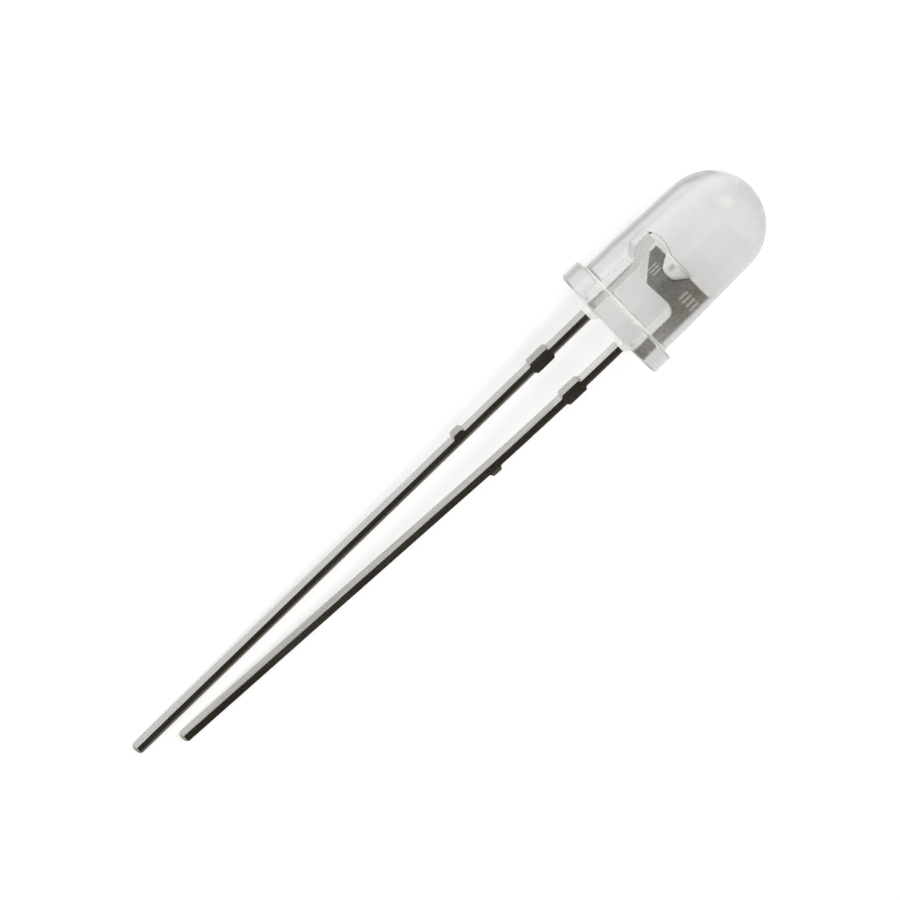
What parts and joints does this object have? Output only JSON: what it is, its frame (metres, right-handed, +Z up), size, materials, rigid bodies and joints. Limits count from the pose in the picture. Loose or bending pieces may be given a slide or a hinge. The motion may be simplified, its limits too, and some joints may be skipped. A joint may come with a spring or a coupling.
{
  "type": "through-hole led",
  "caption": "Clear dome-topped through-hole LED: a flanged epoxy lens over a reflector cup and chip, with long square leads of unequal length, lying on its side.",
  "frame": {"origin": "centre of the flange's seating face, on the lens axis", "axes": "+Z up as the LED lies on its flange rim and both lead tips; the dome points along +X, tipped up by about 5 degrees; the anode lead is on the +Y side"},
  "size_m": [0.036, 0.0057, 0.0059],
  "materials": {
    "clear_epoxy": "water-clear cast epoxy, polished by its mould",
    "plated_steel": "satin tin and silver plating on stamped steel",
    "silver_paste": "cured silver-filled epoxy",
    "chip_crystal": "diced semiconductor crystal",
    "gold": "soft gold, bright"
  },
  "bodies": {
    "root": {"epoxy_lens": "clear_epoxy", "cathode_frame": "plated_steel", "anode_frame": "plated_steel", "die_attach": "silver_paste", "led_chip": "chip_crystal", "top_electrode": "gold", "bond_wire": "gold"}
  },
  "joints": []
}
